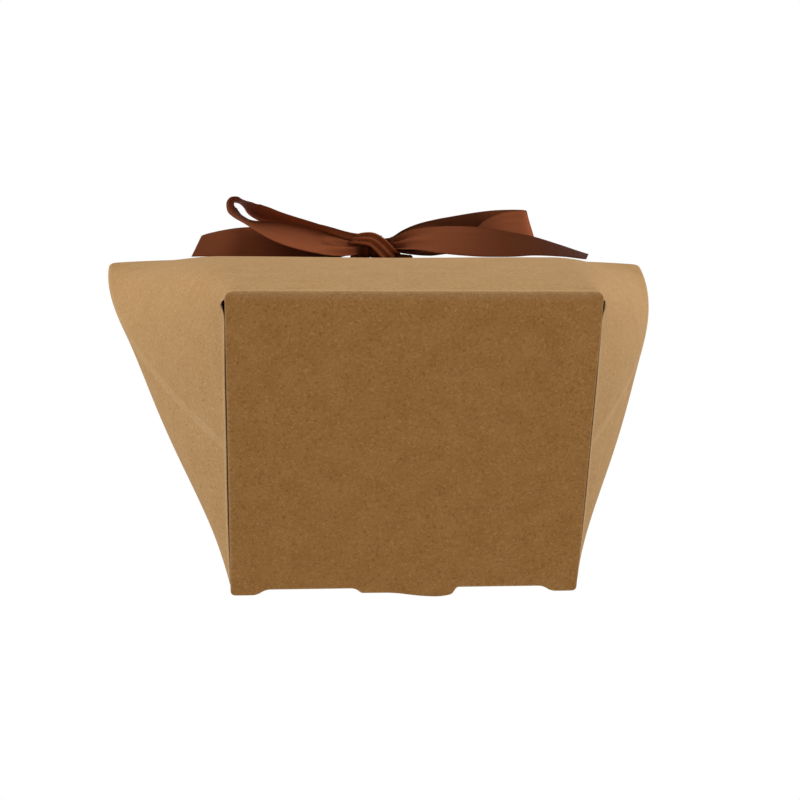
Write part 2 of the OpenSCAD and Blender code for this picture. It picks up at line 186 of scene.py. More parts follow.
def lid_z(x):
    """The height of the mouth's edge, which drops round its two corners."""
    over = np.clip(x - (MOUTH_HALF - MOUTH_ROUND), 0, MOUTH_ROUND)
    return CARTON_H - MOUTH_ROUND + np.sqrt(MOUTH_ROUND**2 - over**2)


# The relief notch's share of a side wall's half
NOTCH_K = NOTCH_L / (CARTON_D / 2 - CORNER_CUT)


def ear(k, z):
    """How far the side wall stands out round the relief notch at its front corner."""
    near = np.exp(-(((k - 2 - NOTCH_K / 2) / (0.9 * NOTCH_K)) ** 2))
    return NOTCH_OUT * near * np.exp(-((np.clip(z, 0, None) / NOTCH_RISE) ** 2))


def wall_place(sy, foot, folded):
    """Where a point of the flat wall goes: k round the carton, h up the board from the
    foot. Below nought, h runs round the fold at the foot."""

    def place(k, h):
        sx = np.where(k < 0, -1.0, 1.0)
        k = np.abs(k)
        top = lid_z(ring(k, np.ones_like(k))[..., 0])
        low = foot + (FOLD_R if folded else 0)
        # The flat board is measured against the full height, so its rows close up
        # evenly towards the rounded corners of the mouth
        z = low + np.clip(h, 0, None) * (top - low) / (CARTON_H - low)
        v = z / CARTON_H
        p = ring(k, v)
        y = -p[..., 1] * (1 - pinch(p[..., 0], v) / half_depth(v))
        turn = np.clip(-h, 0, None) / FOLD_R
        n = unit(ring(np.clip(k + STEP_K, 0, 4), v) - ring(k - STEP_K, v))
        inset = FOLD_R * (1 - np.cos(turn))
        x = p[..., 0] - inset * n[..., 1]
        if sy < 0 and foot:
            x = x + ear(k, z)
        y = y - inset * n[..., 0]
        z = z - FOLD_R * np.sin(turn)
        return np.stack([sx * x, sy * y, z], -1)

    return place


def normals_of(place, a, b, flip):
    """Unit normals of the board, from its two slopes."""
    across = place(a + STEP_FLAT, b) - place(a - STEP_FLAT, b)
    up = place(a, b + STEP_FLAT) - place(a, b - STEP_FLAT)
    return unit(np.cross(across, up) * (-1 if flip else 1))


def anticlockwise(points, wanted=True):
    """The points in the wanted turn."""
    x, y = np.array(points, float).T
    area = (x * np.roll(y, -1) - np.roll(x, -1) * y).sum()
    return points if (area > 0) == wanted else points[::-1]


def linked(name, data):
    """A new object of the scene."""
    made = bpy.data.objects.new(name, data)
    bpy.context.scene.collection.objects.link(made)
    return made


def board_piece(name, outline, grid, place, flip=False, holes=(), soft=None, rim=None, crease=None):
    """A closed piece of board, cut to a flat outline and folded by place().

    outline is a list of flat points. grid is a list of flat points inside it. holes
    are closed rows of flat points. soft(a, b) gives the share of the full thickness,
    rim(a, b) how far the cut edge is rounded outwards, and crease(a, b) how much paler
    a fold makes the board, partly rubbed and partly painted highlight."""
    outline = anticlockwise(outline)
    rows = [np.array(outline, float)] + [np.array(anticlockwise(h, False), float) for h in holes]
    edges, spans, start = [], [], 0
    for r in rows:
        n = len(r)
        spans.append(range(start, start + n))
        edges += [(start + i, start + (i + 1) % n) for i in range(n)]
        start += n
    pts = np.concatenate(rows + [np.array(grid, float).reshape(-1, 2)])
    scale = 1 / np.ptp(pts, axis=0)
    flat = [tuple(p) for p in (pts * scale).tolist()]
    found = delaunay_2d_cdt(flat, edges, [list(range(len(outline)))], 1, 1e-7)
    faces, origins = found[2], found[3]
    order = np.array([o[0] for o in origins])
    uv = pts[order]
    where = {o: i for i, o in enumerate(order)}
    loops = [np.array([where[i] for i in span]) for span in spans]
    tris = np.array(faces)
    middles = uv[tris].mean(1)
    keep = np.ones(len(tris), bool)
    for h in rows[1:]:
        keep &= ~inside(middles * scale, h * scale)
    tris = tris[keep]
    a, b = uv[:, 0], uv[:, 1]
    normal = normals_of(place, a, b, flip)
    outer = place(a, b)
    depth = BOARD_T * (soft(a, b) if soft else np.ones(len(a)))
    inner = outer - depth[:, None] * normal
    n = len(uv)
    fold_wear_and_highlight = crease(a, b) if crease else np.zeros(n)
    points, directions, wear_and_highlight = [outer, inner], [normal, -normal], [fold_wear_and_highlight.copy(), np.zeros(n)]
    turn = -1 if flip else 1
    made = [t[::turn] for t in tris] + [t[::-turn] + n for t in tris]
    count = 2 * n
    for ids in loops:
        po, pi, no = outer[ids], inner[ids], normal[ids]
        tangent = np.roll(po, -1, 0) - np.roll(po, 1, 0)
        away = unit(np.cross(tangent, no) * turn)
        bulge = rim(a[ids], b[ids]) if rim else np.full(len(ids), CUT_ROUND)
        # A fold's end keeps the fold's paleness, a cut edge is made pale, and a seam isn't
        cut = np.where(bulge > (CUT_ROUND + HINGE_R) / 2, fold_wear_and_highlight[ids], (bulge > 0).astype(float))
        wear_and_highlight[0][ids] = wear_and_highlight[1][ids] = cut
        m = len(ids)
        chain = [ids]
        for s in RIM_SHARES:
            swell = np.sqrt(1 - (2 * s - 1) ** 2)
            points.append(po + (pi - po) * s + away * (bulge * swell)[:, None])
            directions.append(unit(no * (1 - 2 * s) + away * RIM_LEAN))
            wear_and_highlight.append(cut)
            chain.append(np.arange(count, count + m))
            count += m
        chain.append(ids + n)
        for upper, lower in zip(chain, chain[1:]):
            made += list(np.stack([upper, lower, np.roll(lower, -1), np.roll(upper, -1)], 1)[:, ::turn])

    mesh = bpy.data.meshes.new(name)
    mesh.from_pydata(np.concatenate(points).tolist(), [], [[int(i) for i in f] for f in made])
    mesh.validate()
    layer = mesh.attributes.new("wear_and_highlight", "FLOAT", "POINT")
    layer.data.foreach_set("value", np.concatenate(wear_and_highlight).astype(np.float32))
    mesh.polygons.foreach_set("use_smooth", [True] * len(mesh.polygons))
    mesh.normals_split_custom_set_from_vertices(np.concatenate(directions).tolist())
    return linked(name, mesh)


def inside(points, loop):
    """Which flat points lie inside a closed row of points."""
    x, y = points[:, 0], points[:, 1]
    odd = np.zeros(len(points), bool)
    for (x0, y0), (x1, y1) in zip(loop, np.roll(loop, -1, 0)):
        if y0 != y1:
            crosses = (y0 > y) != (y1 > y)
            odd ^= crosses & (x < (x1 - x0) * (y - y0) / (y1 - y0) + x0)
    return odd


# Rows up a wall, as shares, and columns round it, as k of ring(). The walls meet in the
# middle of the corner bend, and the columns near the relief notch are closer.
ROWS = np.linspace(0, 1, 64)[1:-1]
END_ROW = 0.25 * MM
FOLD_ROWS = (1, 0.66, 0.33, 0)
SEAM_K = 1.5
NEAR_NOTCH_K = 2.16
WALL_COLUMNS = np.concatenate([np.linspace(-SEAM_K, -1, 9), np.linspace(-1, 1, 61)[1:-1],
    np.linspace(1, SEAM_K, 9)])
SIDE_COLUMNS = np.concatenate([np.linspace(SEAM_K, 2, 9), np.linspace(2, NEAR_NOTCH_K, 13)[1:-1],
    np.linspace(NEAR_NOTCH_K, 3, 26)[:-1], np.linspace(3, 4, 9)])
# The grid of points keeps clear of holes and notches
HOLE_CLEAR = 1.12
NOTCH_CLEAR = 0.1 * MM
HOLE_POINTS = 40
# How much paler the folds are, partly rubbed and partly painted highlight, and over how much of k the side
# edge's paleness grows
FOLD_WEAR_AND_HIGHLIGHT = 0.8
RIDGE_PALENESS = 0.45
RIDGE_REACH = 0.6


def wall_rows(foot, folded):
    """The rows of a wall's flat board, from the fold at its foot to the mouth."""
    bottom = [0, END_ROW]
    if folded:
        foot += FOLD_R
        bottom = [-FOLD_END * s for s in FOLD_ROWS] + [END_ROW, 3 * END_ROW]
    high = CARTON_H - foot
    return np.concatenate([bottom, ROWS * high, [high - END_ROW, high]])


def wall_soft(a, b):
    """The board thins where it runs round a fold, to a neck on the hinge line."""
    return 1 - (1 - 2 * HINGE_R / BOARD_T) * np.clip(-b / FOLD_END, 0, 1)


def fold_crease(a, b):
    """Folds are made pale along the line where b is nought, partly rubbed board and partly painted
    highlight.
    """
    return FOLD_WEAR_AND_HIGHLIGHT * np.exp(-((np.clip(b, 0, None) / (2 * END_ROW)) ** 2))


def wall_crease(a, b):
    """The fold at a wall's foot is made palest, the folded side edge less."""
    return np.maximum(fold_crease(a, b), RIDGE_PALENESS * np.clip((np.abs(a) - 3) / RIDGE_REACH, 0, 1))


def wall_piece(name, sy, ks, foot, folded, holes=(), notch=()):
    """A wall, or half of a side wall, with its columns at ks."""
    hs = wall_rows(foot, folded)
    k0, k1 = ks[0], ks[-1]
    notch = list(notch)
    bottom = [(k, hs[0]) for k in ks if not notch or not notch[0][0] <= k <= notch[-1][0]]
    bottom = sorted(bottom + notch)
    outline = bottom + [(k1, h) for h in hs[1:-1]] + [(k, hs[-1]) for k in ks[::-1]]
    outline += [(k0, h) for h in hs[-2:0:-1]]
    grid = np.array([(k, h) for h in hs[1:-1] for k in ks[1:-1]])
    place = wall_place(sy, foot, folded)
    for hole in holes:
        middle = hole.mean(0)
        grid = grid[~inside(grid, middle + (hole - middle) * HOLE_CLEAR)]
    if notch:
        grid = grid[~inside(grid, np.array(notch) + [0, NOTCH_CLEAR])]

    def rim(a, b):
        seam = (np.abs(a - k0) < SAME) | (np.abs(a - k1) < SAME)
        foot_end = np.abs(b - hs[0]) < SAME
        return np.where(seam, 0, np.where(foot_end & folded, HINGE_R, CUT_ROUND))

    soft = wall_soft if folded else None
    return board_piece(name, outline, grid, place, sy > 0, holes, soft, rim, wall_crease)


def hole_loops(foot, folded):
    """The two punched holes of a wall, as rows of flat points."""
    low = foot + (FOLD_R if folded else 0)
    v = 1 - HOLE_DROP / CARTON_H
    lean = math.atan((half_depth(v) - half_depth(1.0)) / HOLE_DROP)
    loops = []
    for sx in (-1, 1):
        turns = np.linspace(0, math.tau, HOLE_POINTS + 1)[:-1]
        x = sx * HOLE_SPACING / 2 + HOLE_DIA / 2 * np.cos(turns)
        z = v * CARTON_H + HOLE_DIA / 2 * np.sin(turns) * math.cos(lean)
        vs = z / CARTON_H
        flat_x = CARTON_W / 2 + CORNER_LEAN * vs - corner_cut(vs)
        loops.append(np.stack([x / flat_x, z - low], -1))
    return loops


# How many points round a corner off
CORNER_POINTS = 7


def rounded_outline(points, radii):
    """The outline with each corner rounded off by its own radius, as a curve that leaves
    one side and meets the next."""
    points = np.array(points, float)
    s = np.linspace(0, 1, CORNER_POINTS)[:, None]
    made = []
    for before, corner, after, radius in zip(np.roll(points, 1, 0), points, np.roll(points, -1, 0), radii):
        made += list(corner + (1 - s) ** 2 * radius * unit(before - corner)
            + s**2 * radius * unit(after - corner)) if radius else [corner]
    return made


def closely(outline, gap):
    """The outline again, with points no further apart than gap."""
    made = []
    for p, q in zip(outline, np.roll(outline, -1, 0)):
        steps = max(1, math.ceil(np.linalg.norm(q - p) / gap))
        made += [p + (q - p) * s / steps for s in range(steps)]
    return made


def inset_outline(outline, by):
    """The outline's points, each moved inwards."""
    pts = np.array(outline)
    way = unit(np.roll(pts, -1, 0) - np.roll(pts, 1, 0))
    return pts + by * np.stack([-way[:, 1], way[:, 0]], 1)


# A flap's grid keeps this many times further from the outline than the row inside it
GRID_CLEAR = 1.8


def flat_grid(outline, gap, clear):
    """Points of a square grid that lie well inside an outline, and a row just inside it."""
    pts = np.array(outline)
    xs, ys = (np.arange(low + gap / 2, high, gap) for low, high in zip(pts.min(0), pts.max(0)))
    grid = np.array([(x, y) for x in xs for y in ys])
    grid = grid[inside(grid, inset_outline(outline, clear * GRID_CLEAR))]
    row = inset_outline(outline, clear)
    row = row[inside(row, pts)]
    return np.concatenate([grid, row])


def flap_piece(name, outline, place, flip=False, soft=None, rim=None, crease=None, gap=2.5 * MM):
    """A flap or panel that is cut to any outline. gap is the space between its points."""
    outline = anticlockwise(closely(outline, gap))
    grid = np.concatenate([flat_grid(outline, s * gap, s * END_ROW) for s in (1, 3)])
    return board_piece(name, outline, grid, place, flip, (), soft, rim, crease)


# The base panel lies flat, and runs round the fold at its front. Flat points are
# x and the distance back from the start of the fold.
BASE_START = CARTON_D / 2 - FOLD_R
TAB_BEND = TUCK_CREASE + 2 * MM + BASE_START
TAB_BEND_R = 2.5 * MM
# The tuck edge: its cut line, the shoulders' slope and the rounding. Then the thumb tab's
# edge, as shares of half the tab's width and distances back from the crease.
SLIT_EDGE = BOARD_T + 0.12 * MM
SLIT_SLOPE = 2.2 * MM
EDGE_EASE = 1.3 * MM
THUMB_TIP = 2.9 * MM
THUMB_END = 2 * MM
THUMB_EDGE = [(0.66, 4.3 * MM), (0.3, 3.3 * MM), (-0.2, 2.05 * MM)]
BASE_GRID = 1.6 * MM


def base_place(a, b):
    """Where a point of the flat base panel goes."""
    turn = np.clip(-b, 0, None) / FOLD_R
    # The thumb tab's free end curls up
    over = np.clip(b - TAB_BEND, 0, None) * (np.abs(a) < TAB_W / 2)
    roll = over / TAB_BEND_R
    y = np.clip(b, 0, None) - BASE_START - FOLD_R * np.sin(turn) - over + TAB_BEND_R * np.sin(roll)
    z = FOLD_R * (1 - np.cos(turn)) + TAB_BEND_R * (1 - np.cos(roll))
    return np.stack([a, y, z], -1)


def base_outline():
    """From the front right corner: the shoulder, the tuck edge, the thumb tab, and back."""
    slit = BASE_HALF - SHOULDER_W
    tab = TAB_W / 2
    ease = EDGE_EASE
    behind = [(BASE_HALF, SHOULDER_L), (slit + SLIT_SLOPE, SHOULDER_L), (slit, SLIT_EDGE),
        (tab + 0.5 * ease, SLIT_EDGE), (tab - 0.5 * ease, THUMB_TIP), *[(s * tab, y) for s, y in THUMB_EDGE],
        (-tab + ease, THUMB_END), (-tab, SLIT_EDGE), (-slit, SLIT_EDGE),
        (-slit - SLIT_SLOPE, SHOULDER_L), (-BASE_HALF, SHOULDER_L)]
    points = [(BASE_HALF, -FOLD_END)] + [(x, y + TUCK_CREASE + BASE_START) for x, y in behind]
    points += [(-BASE_HALF, -FOLD_END)]
    radii = [CORNER_CUT, ease, ease, ease, ease / 2, ease / 2, ease, 2 * ease, 2 * ease, ease / 2,
        ease, ease, ease, ease, CORNER_CUT]
    return rounded_outline(points, radii)


def fold_rim(a, b):
    """The end of a fold is rounded to the hinge line, and the cut edges a little."""
    return np.where(b < SAME - FOLD_END, HINGE_R, CUT_ROUND)


def dust_place(sx):
    """Flat points are the distance in from the start of the fold, and y."""

    def place(a, b):
        turn = np.clip(-a, 0, None) / FOLD_R
        x = CARTON_W / 2 - FOLD_R - np.clip(a, 0, None) + FOLD_R * np.sin(turn)
        z = DUST_Z + FOLD_R * (1 - np.cos(turn))
        return np.stack([sx * x, b, z], -1)

    return place


def dust_outline():
    """A dust flap narrows towards its free edge, more in front."""
    front = -CARTON_D / 2 + DUST_FRONT
    rear = CARTON_D / 2 - DUST_REAR
    points = [(-FOLD_END, front), (DUST_L, front + DUST_LEAN_FRONT * DUST_L),
        (DUST_L, rear - DUST_LEAN_REAR * DUST_L), (-FOLD_END, rear)]
    return rounded_outline(points, [0, DUST_REAR, DUST_REAR, 0])


def tuck_place(a, b):
    """Flat points are x and the distance up the flap from its crease."""
    lean = math.pi / 2 + TUCK_LEAN
    y = TUCK_CREASE - BOARD_T / 2 + b * math.cos(lean) + BOARD_T / 2 * math.sin(lean)
    z = BOARD_T + LAYER_GAP + b * math.sin(lean) - BOARD_T / 2 * math.cos(lean)
    return np.stack([a, y, z], -1)


def tuck_outline():
    """The tuck flap, with the gap that the thumb tab leaves in its crease."""
    half = CARTON_W / 2 - BOARD_T - TUCK_SIDE_GAP
    slit = BASE_HALF - SHOULDER_W
    tab = TAB_W / 2 + 4 * HINGE_GAP
    points = [(tab, TAB_L), (tab, 0), (slit, 0), (slit, LAYER_GAP), (half, LAYER_GAP),
        (half - TUCK_ROUND / 4, TUCK_L)]
    radii = [SHOULDER_L / 2, 0, 0, 0, 0, TUCK_ROUND]
    both = points + [(-x, y) for x, y in points[::-1]]
    return rounded_outline(both, radii + radii[::-1])


GLUE_COLUMNS = np.linspace(0, 1, 16)


def glue_place(a, b):
    """The glue flap lies inside the back wall. Flat points are the share of the way from
    the folded corner to the flap's edge, and z."""
    v = b / CARTON_H
    corner = CARTON_W / 2 + CORNER_LEAN * v
    end = (corner - GLUE_W) / (corner - corner_cut(v))
    k = SEAM_K + (end - SEAM_K) * a
    outer = wall_place(1, 0, False)
    n = normals_of(outer, -k, b, True)
    return outer(-k, b) - (BOARD_T + GLUE_LINE) * n


def smooth(stations, s):
    """Points of a smooth curve through a ribbon's stations. Each station gives a place on
    the way, the turn of the width, and how much the ribbon is gathered there."""
    st = np.array(stations, float)
    n = len(st) - 1
    i = np.minimum(np.floor(s).astype(int), n - 1)
    t = (s - i)[:, None]
    padded = np.concatenate([[2 * st[0] - st[1]], st, [2 * st[-1] - st[-2]]])
    a, b, c, d = (padded[i + j] for j in range(4))
    return 0.5 * (2 * b + (c - a) * t + (2 * a - 5 * b + 4 * c - d) * t**2
        + (3 * b - a - 3 * c + d) * t**3)


BOW_V = 1 - HOLE_DROP / CARTON_H
BOW_AT = np.array([0, -half_depth(BOW_V) + pinch(0, BOW_V), BOW_V * CARTON_H])
UP = np.array([0, math.sin(BOW_LEAN), math.cos(BOW_LEAN)])
OUT = np.array([0, -math.cos(BOW_LEAN), math.sin(BOW_LEAN)])
KNOT_X = -KNOT_W / 6
KNOT_GAP = 0.2 * MM


def bow_place(x, u, o):
    """A place by its distances along the box, up the wall and off the wall."""
    return BOW_AT + np.array([x, 0, 0]) + u * UP + o * OUT


def knot_face(sx):
    """Where the knot ends on one side, along the box."""
    return KNOT_X + sx * (KNOT_W / 2 + KNOT_GAP)


def bow_stations(shares, sx, reach, rise):
    """The stations in their places, and one more at each end that reaches the knot."""
    rows = [[KNOT_DEEP_SHARE, *shares[0][1:4], KNOT_NECK]] + shares
    if shares[-1][0] == 0:
        rows.append([KNOT_DEEP_SHARE, *shares[-1][1:4], KNOT_NECK])
    made = []
    for across, up, off, turn, gather in rows:
        x = knot_face(sx) + across * (sx * reach - knot_face(sx))
        made.append([*bow_place(x, up * RIBBON_W, off * rise), turn, gather])
    return made


LOOP_LEFT_SHARES = [
    [0, -0.08, 0.20, 30, 0.45], [0.133, -0.13, 0.217, 40, 0.70], [0.307, -0.12, 0.29, 43, 1],
    [0.50, -0.09, 0.38, 42, 1], [0.648, -0.06, 0.47, 34, 1], [0.76, -0.04, 0.545, 20, 1],
    [0.835, -0.02, 0.605, 11, 1], [0.884, 0, 0.66, 10, 1], [0.925, 0.01, 0.719, 12, 1],
    [0.955, 0.03, 0.792, 16, 1], [0.963, 0.05, 0.873, 17, 1], [0.957, 0.07, 0.93, 14, 1],
    [0.938, 0.09, 0.961, 9, 1], [0.91, 0.12, 0.955, 7, 1], [0.878, 0.15, 0.932, 9, 1],
    [0.84, 0.18, 0.887, 16, 1], [0.80, 0.22, 0.826, 25, 1], [0.73, 0.29, 0.749, 29, 1],
    [0.63, 0.34, 0.665, 28, 1], [0.53, 0.36, 0.593, 28, 1], [0.417, 0.35, 0.518, 28, 1],
    [0.305, 0.30, 0.452, 26, 1], [0.19, 0.22, 0.397, 22, 0.88], [0.09, 0.11, 0.362, 16, 0.65],
    [0, 0, 0.35, 10, 0.45]]
LOOP_RIGHT_SHARES = [
    [0, -0.03, 0.293, 25, 0.45], [0.13, -0.07, 0.295, 38, 0.75], [0.26, -0.11, 0.30, 50, 1],
    [0.40, -0.14, 0.31, 58, 1], [0.55, -0.14, 0.34, 57, 1], [0.639, -0.12, 0.445, 47, 1],
    [0.72, -0.10, 0.57, 32, 1], [0.80, -0.08, 0.64, 21, 1], [0.878, -0.05, 0.665, 16, 1],
    [0.94, 0.03, 0.67, 16, 1], [0.975, 0.14, 0.67, 17, 1], [0.985, 0.27, 0.675, 18, 1],
    [0.968, 0.42, 0.69, 19, 1], [0.92, 0.56, 0.70, 19, 1], [0.84, 0.66, 0.70, 19, 1],
    [0.73, 0.71, 0.685, 19, 1], [0.60, 0.70, 0.637, 18, 1], [0.46, 0.65, 0.568, 17, 1],
    [0.33, 0.56, 0.50, 16, 1], [0.20, 0.43, 0.433, 15, 0.93], [0.09, 0.30, 0.362, 10, 0.74],
    [0, 0.19, 0.307, 5, 0.45]]
TAIL_LEFT_SHARES = [
    [0, 0.16, 0.56, 42, 0.42], [0.112, 0.61, 0.58, 55, 0.9], [0.314, 0.76, 0.66, 62, 1],
    [0.516, 0.77, 0.73, 64, 1], [0.685, 0.78, 0.735, 63, 1], [0.82, 0.77, 0.68, 54, 1],
    [1, 0.79, 0.54, 36, 1]]
TAIL_RIGHT_SHARES = [
    [0, -0.19, 0.62, -50, 0.38], [0.105, -0.45, 0.82, -42, 0.86], [0.21, -0.58, 0.87, -50, 1],
    [0.32, -0.64, 0.84, -59, 1], [0.43, -0.69, 0.79, -61, 1], [0.52, -0.70, 0.74, -55, 1],
    [0.61, -0.71, 0.68, -46, 1], [0.716, -0.72, 0.63, -35, 1], [0.863, -0.73, 0.43, -21, 1],
    [1, -0.74, 0.18, -11, 1]]
# Slant of each tail's cut end, and how deep the gathered ends run into the knot
CUT_SKEW = -1.6 * MM
CUT_SKEW_RIGHT = 1.1 * MM
KNOT_DEEP_SHARE = -0.08
KNOT_NECK = 0.34
KNOT_DEEP_OUT = 3.5 * MM


def fill(node, inputs):
    """Sets each named socket to its value, or joins it to its source."""
    for key, value in inputs.items():
        socket = node.inputs[key]
        if isinstance(value, bpy.types.NodeSocket):
            node.id_data.links.new(value, socket)
        else:
            socket.default_value = value


def add_node(tree, kind, inputs=None, **values):
    """A new node, with its values set and its sockets filled."""
    node = tree.nodes.new(kind)
    for key, value in values.items():
        setattr(node, key, value)
    fill(node, inputs or {})
    return node


def calc(operation, a, b=0.0):
    """The result of a math node. At least one of its two values is a socket."""
    tree = (a if isinstance(a, bpy.types.NodeSocket) else b).id_data
    return add_node(tree, "ShaderNodeMath", {0: a, 1: b}, operation=operation).outputs[0]


def times(a, b):
    return calc("MULTIPLY", a, b)


def plus(a, b):
    return calc("ADD", a, b)


def minus(a, b):
    return calc("SUBTRACT", a, b)


def vector_sum(a, b):
    return add_node(a.id_data, "ShaderNodeVectorMath", {0: a, 1: b}, operation="ADD").outputs[0]


def vector_scale(a, by):
    return add_node(a.id_data, "ShaderNodeVectorMath", {0: a, "Scale": by}, operation="SCALE").outputs[0]


def spread(value, low, high, **values):
    """The value, with the range from low to high brought to the range from 0 to 1."""
    return add_node(value.id_data, "ShaderNodeMapRange",
        {"Value": value, "From Min": low, "From Max": high}, **values).outputs[0]


def mixed(share, a, b):
    """A mix of two colours. The share is a socket."""
    return add_node(share.id_data, "ShaderNodeMix", {"Factor": share, "A": a, "B": b},
        data_type="RGBA").outputs["Result"]


def tinted(colour, share, lift=0.0):
    """A colour made darker or paler, with full alpha."""
    return tuple(min(1, c * share + lift) for c in colour[:3]) + (1,)


def new_material(name):
    """A new material, its adder of nodes and its shader node."""
    m = bpy.data.materials.new(name)
    m.use_nodes = True
    return m, partial(add_node, m.node_tree), m.node_tree.nodes["Principled BSDF"]


# The kind of a group's socket follows from its value. One with no value is of the kind
# that its name says.
SOCKET_KINDS = {float: "Float", int: "Int", tuple: "Vector"}


def group_of(name, kind, inputs, outputs):
    """A new node group, its adder of nodes and its inputs."""
    tree = bpy.data.node_groups.new(name, kind + "NodeTree")
    for label, value in inputs.items():
        socket = tree.interface.new_socket(label, in_out="INPUT",
            socket_type="NodeSocket" + SOCKET_KINDS.get(type(value), label))
        if value is not None:
            socket.default_value = value
    for label in outputs:
        tree.interface.new_socket(label, in_out="OUTPUT",
            socket_type="NodeSocket" + ("Geometry" if kind == "Geometry" else "Float"))
    add = partial(add_node, tree)
    return tree, add, add("NodeGroupInput").outputs


# How square a ribbon's edges are, the middle height of its cup, and what closes its skins
EDGE_POWER = 10.0
CUP_MEAN = 0.33
MERGE = 1e-7


def ribbon_tree():
    """Geometry Nodes that sweep a satin ribbon along a row of stations. Each station
    point holds the width's direction, the face's direction, how much the ribbon is
    gathered, its distance along the ribbon, and its painted shade."""
    tree, add, given = group_of("swept_ribbon", "Geometry", {"Geometry": None, "Width": RIBBON_W,
        "Thickness": RIBBON_T, "Pleats": 3.0, "Pleat Shift": 0.0, "Pleat Depth": 1.0, "Cup": 0.0,
        "Columns": 33, "Material": None}, ["Geometry"])
    rows = add("GeometryNodeAttributeDomainSize", {0: given["Geometry"]},
        component="MESH").outputs["Point Count"]
    grid = add("GeometryNodeMeshGrid", {"Size X": 2.0, "Size Y": 1.0,
        "Vertices X": given["Columns"], "Vertices Y": rows}).outputs["Mesh"]
    place = add("GeometryNodeInputPosition").outputs[0]
    split = add("ShaderNodeSeparateXYZ", {0: place}).outputs
    last = minus(rows, 1.0)
    row = calc("ROUND", times(plus(split["Y"], 0.5), last))
    # Columns close up towards the woven edges
    cubed = times(times(split["X"], split["X"]), split["X"])
    u = minus(times(split["X"], 1.5), times(cubed, 0.5))

    def station(field, kind="FLOAT"):
        """The value of a field at this row's station."""
        return add("GeometryNodeSampleIndex", {"Geometry": given["Geometry"], "Value": field,
            "Index": row}, data_type=kind, domain="POINT").outputs["Value"]

    def stored(label, kind="FLOAT"):
        """The value of a stored attribute at this row's station."""
        named = add("GeometryNodeInputNamedAttribute", {"Name": label}, data_type=kind)
        return station(named.outputs["Attribute"], kind)

    middle = station(place, "FLOAT_VECTOR")
    across, outward = (stored(label, "FLOAT_VECTOR") for label in ("across", "outward"))
    gather, along, shade = (stored(label) for label in ("gather", "along", "shade"))
    # The cloth that a gathered stretch takes in goes into pleats, as deep as its width asks
    slack = minus(1.0, times(gather, gather))
    slack = calc("SQRT", times(calc("MAXIMUM", slack, 0.0), 2.0))
    depth = calc("DIVIDE", times(slack, given["Width"]), times(given["Pleats"], math.tau))
    depth = times(depth, given["Pleat Depth"])
    wave = times(times(u, given["Pleats"]), math.pi)
    pleat = times(calc("SINE", plus(wave, given["Pleat Shift"])), depth)
    # The cup is a shallow arch, set so that its middle and its edges lie about level
    high = plus(pleat, times(minus(times(u, u), CUP_MEAN), given["Cup"]))
    wide = times(times(u, gather), times(given["Width"], 0.5))
    # Thickness runs out to nothing at the woven edges and at both ends
    near_edge = calc("POWER", calc("ABSOLUTE", u), EDGE_POWER)
    round_edge = calc("SQRT", calc("MAXIMUM", minus(1.0, near_edge), 0.0))
    first = calc("GREATER_THAN", row, 0.5)
    before_last = calc("LESS_THAN", row, minus(last, 0.5))
    solid = times(times(first, before_last), round_edge)
    half = times(times(solid, given["Thickness"]), 0.5)
    skins = []
    for side in (1.0, -1.0):
        height = plus(high, times(half, side))
        spot = vector_sum(vector_sum(middle, vector_scale(across, wide)), vector_scale(outward, height))
        flat_x = times(u, times(given["Width"], 0.5))
        skin = grid
        # The shade is stored for the material, which paints it on as shade
        for label, value in (("flat_x", flat_x), ("flat_y", along), ("folded_in", shade)):
            skin = add("GeometryNodeStoreNamedAttribute", {"Geometry": skin, "Name": label, "Value": value},
                data_type="FLOAT", domain="POINT").outputs[0]
        skin = add("GeometryNodeSetPosition", {"Geometry": skin, "Position": spot}).outputs[0]
        if side < 0:
            skin = add("GeometryNodeFlipFaces", {0: skin}).outputs[0]
        skins.append(skin)
    join = add("GeometryNodeJoinGeometry")
    for skin in skins:
        tree.links.new(skin, join.inputs[0])
    done = join.outputs[0]
    for kind, inputs in (("MergeByDistance", {"Distance": MERGE}), ("SetShadeSmooth", {}),
            ("SetMaterial", {"Material": given["Material"]})):
        done = add("GeometryNode" + kind, {"Geometry": done, **inputs}).outputs[0]
    add("NodeGroupOutput", {0: done})
    return tree


RIBBON_TREE = ribbon_tree()
# Where the rows by a ribbon's ends lie, and how many stations a slanted cut reaches over
END_SHARE = 0.15
CUT_REACH = 0.5


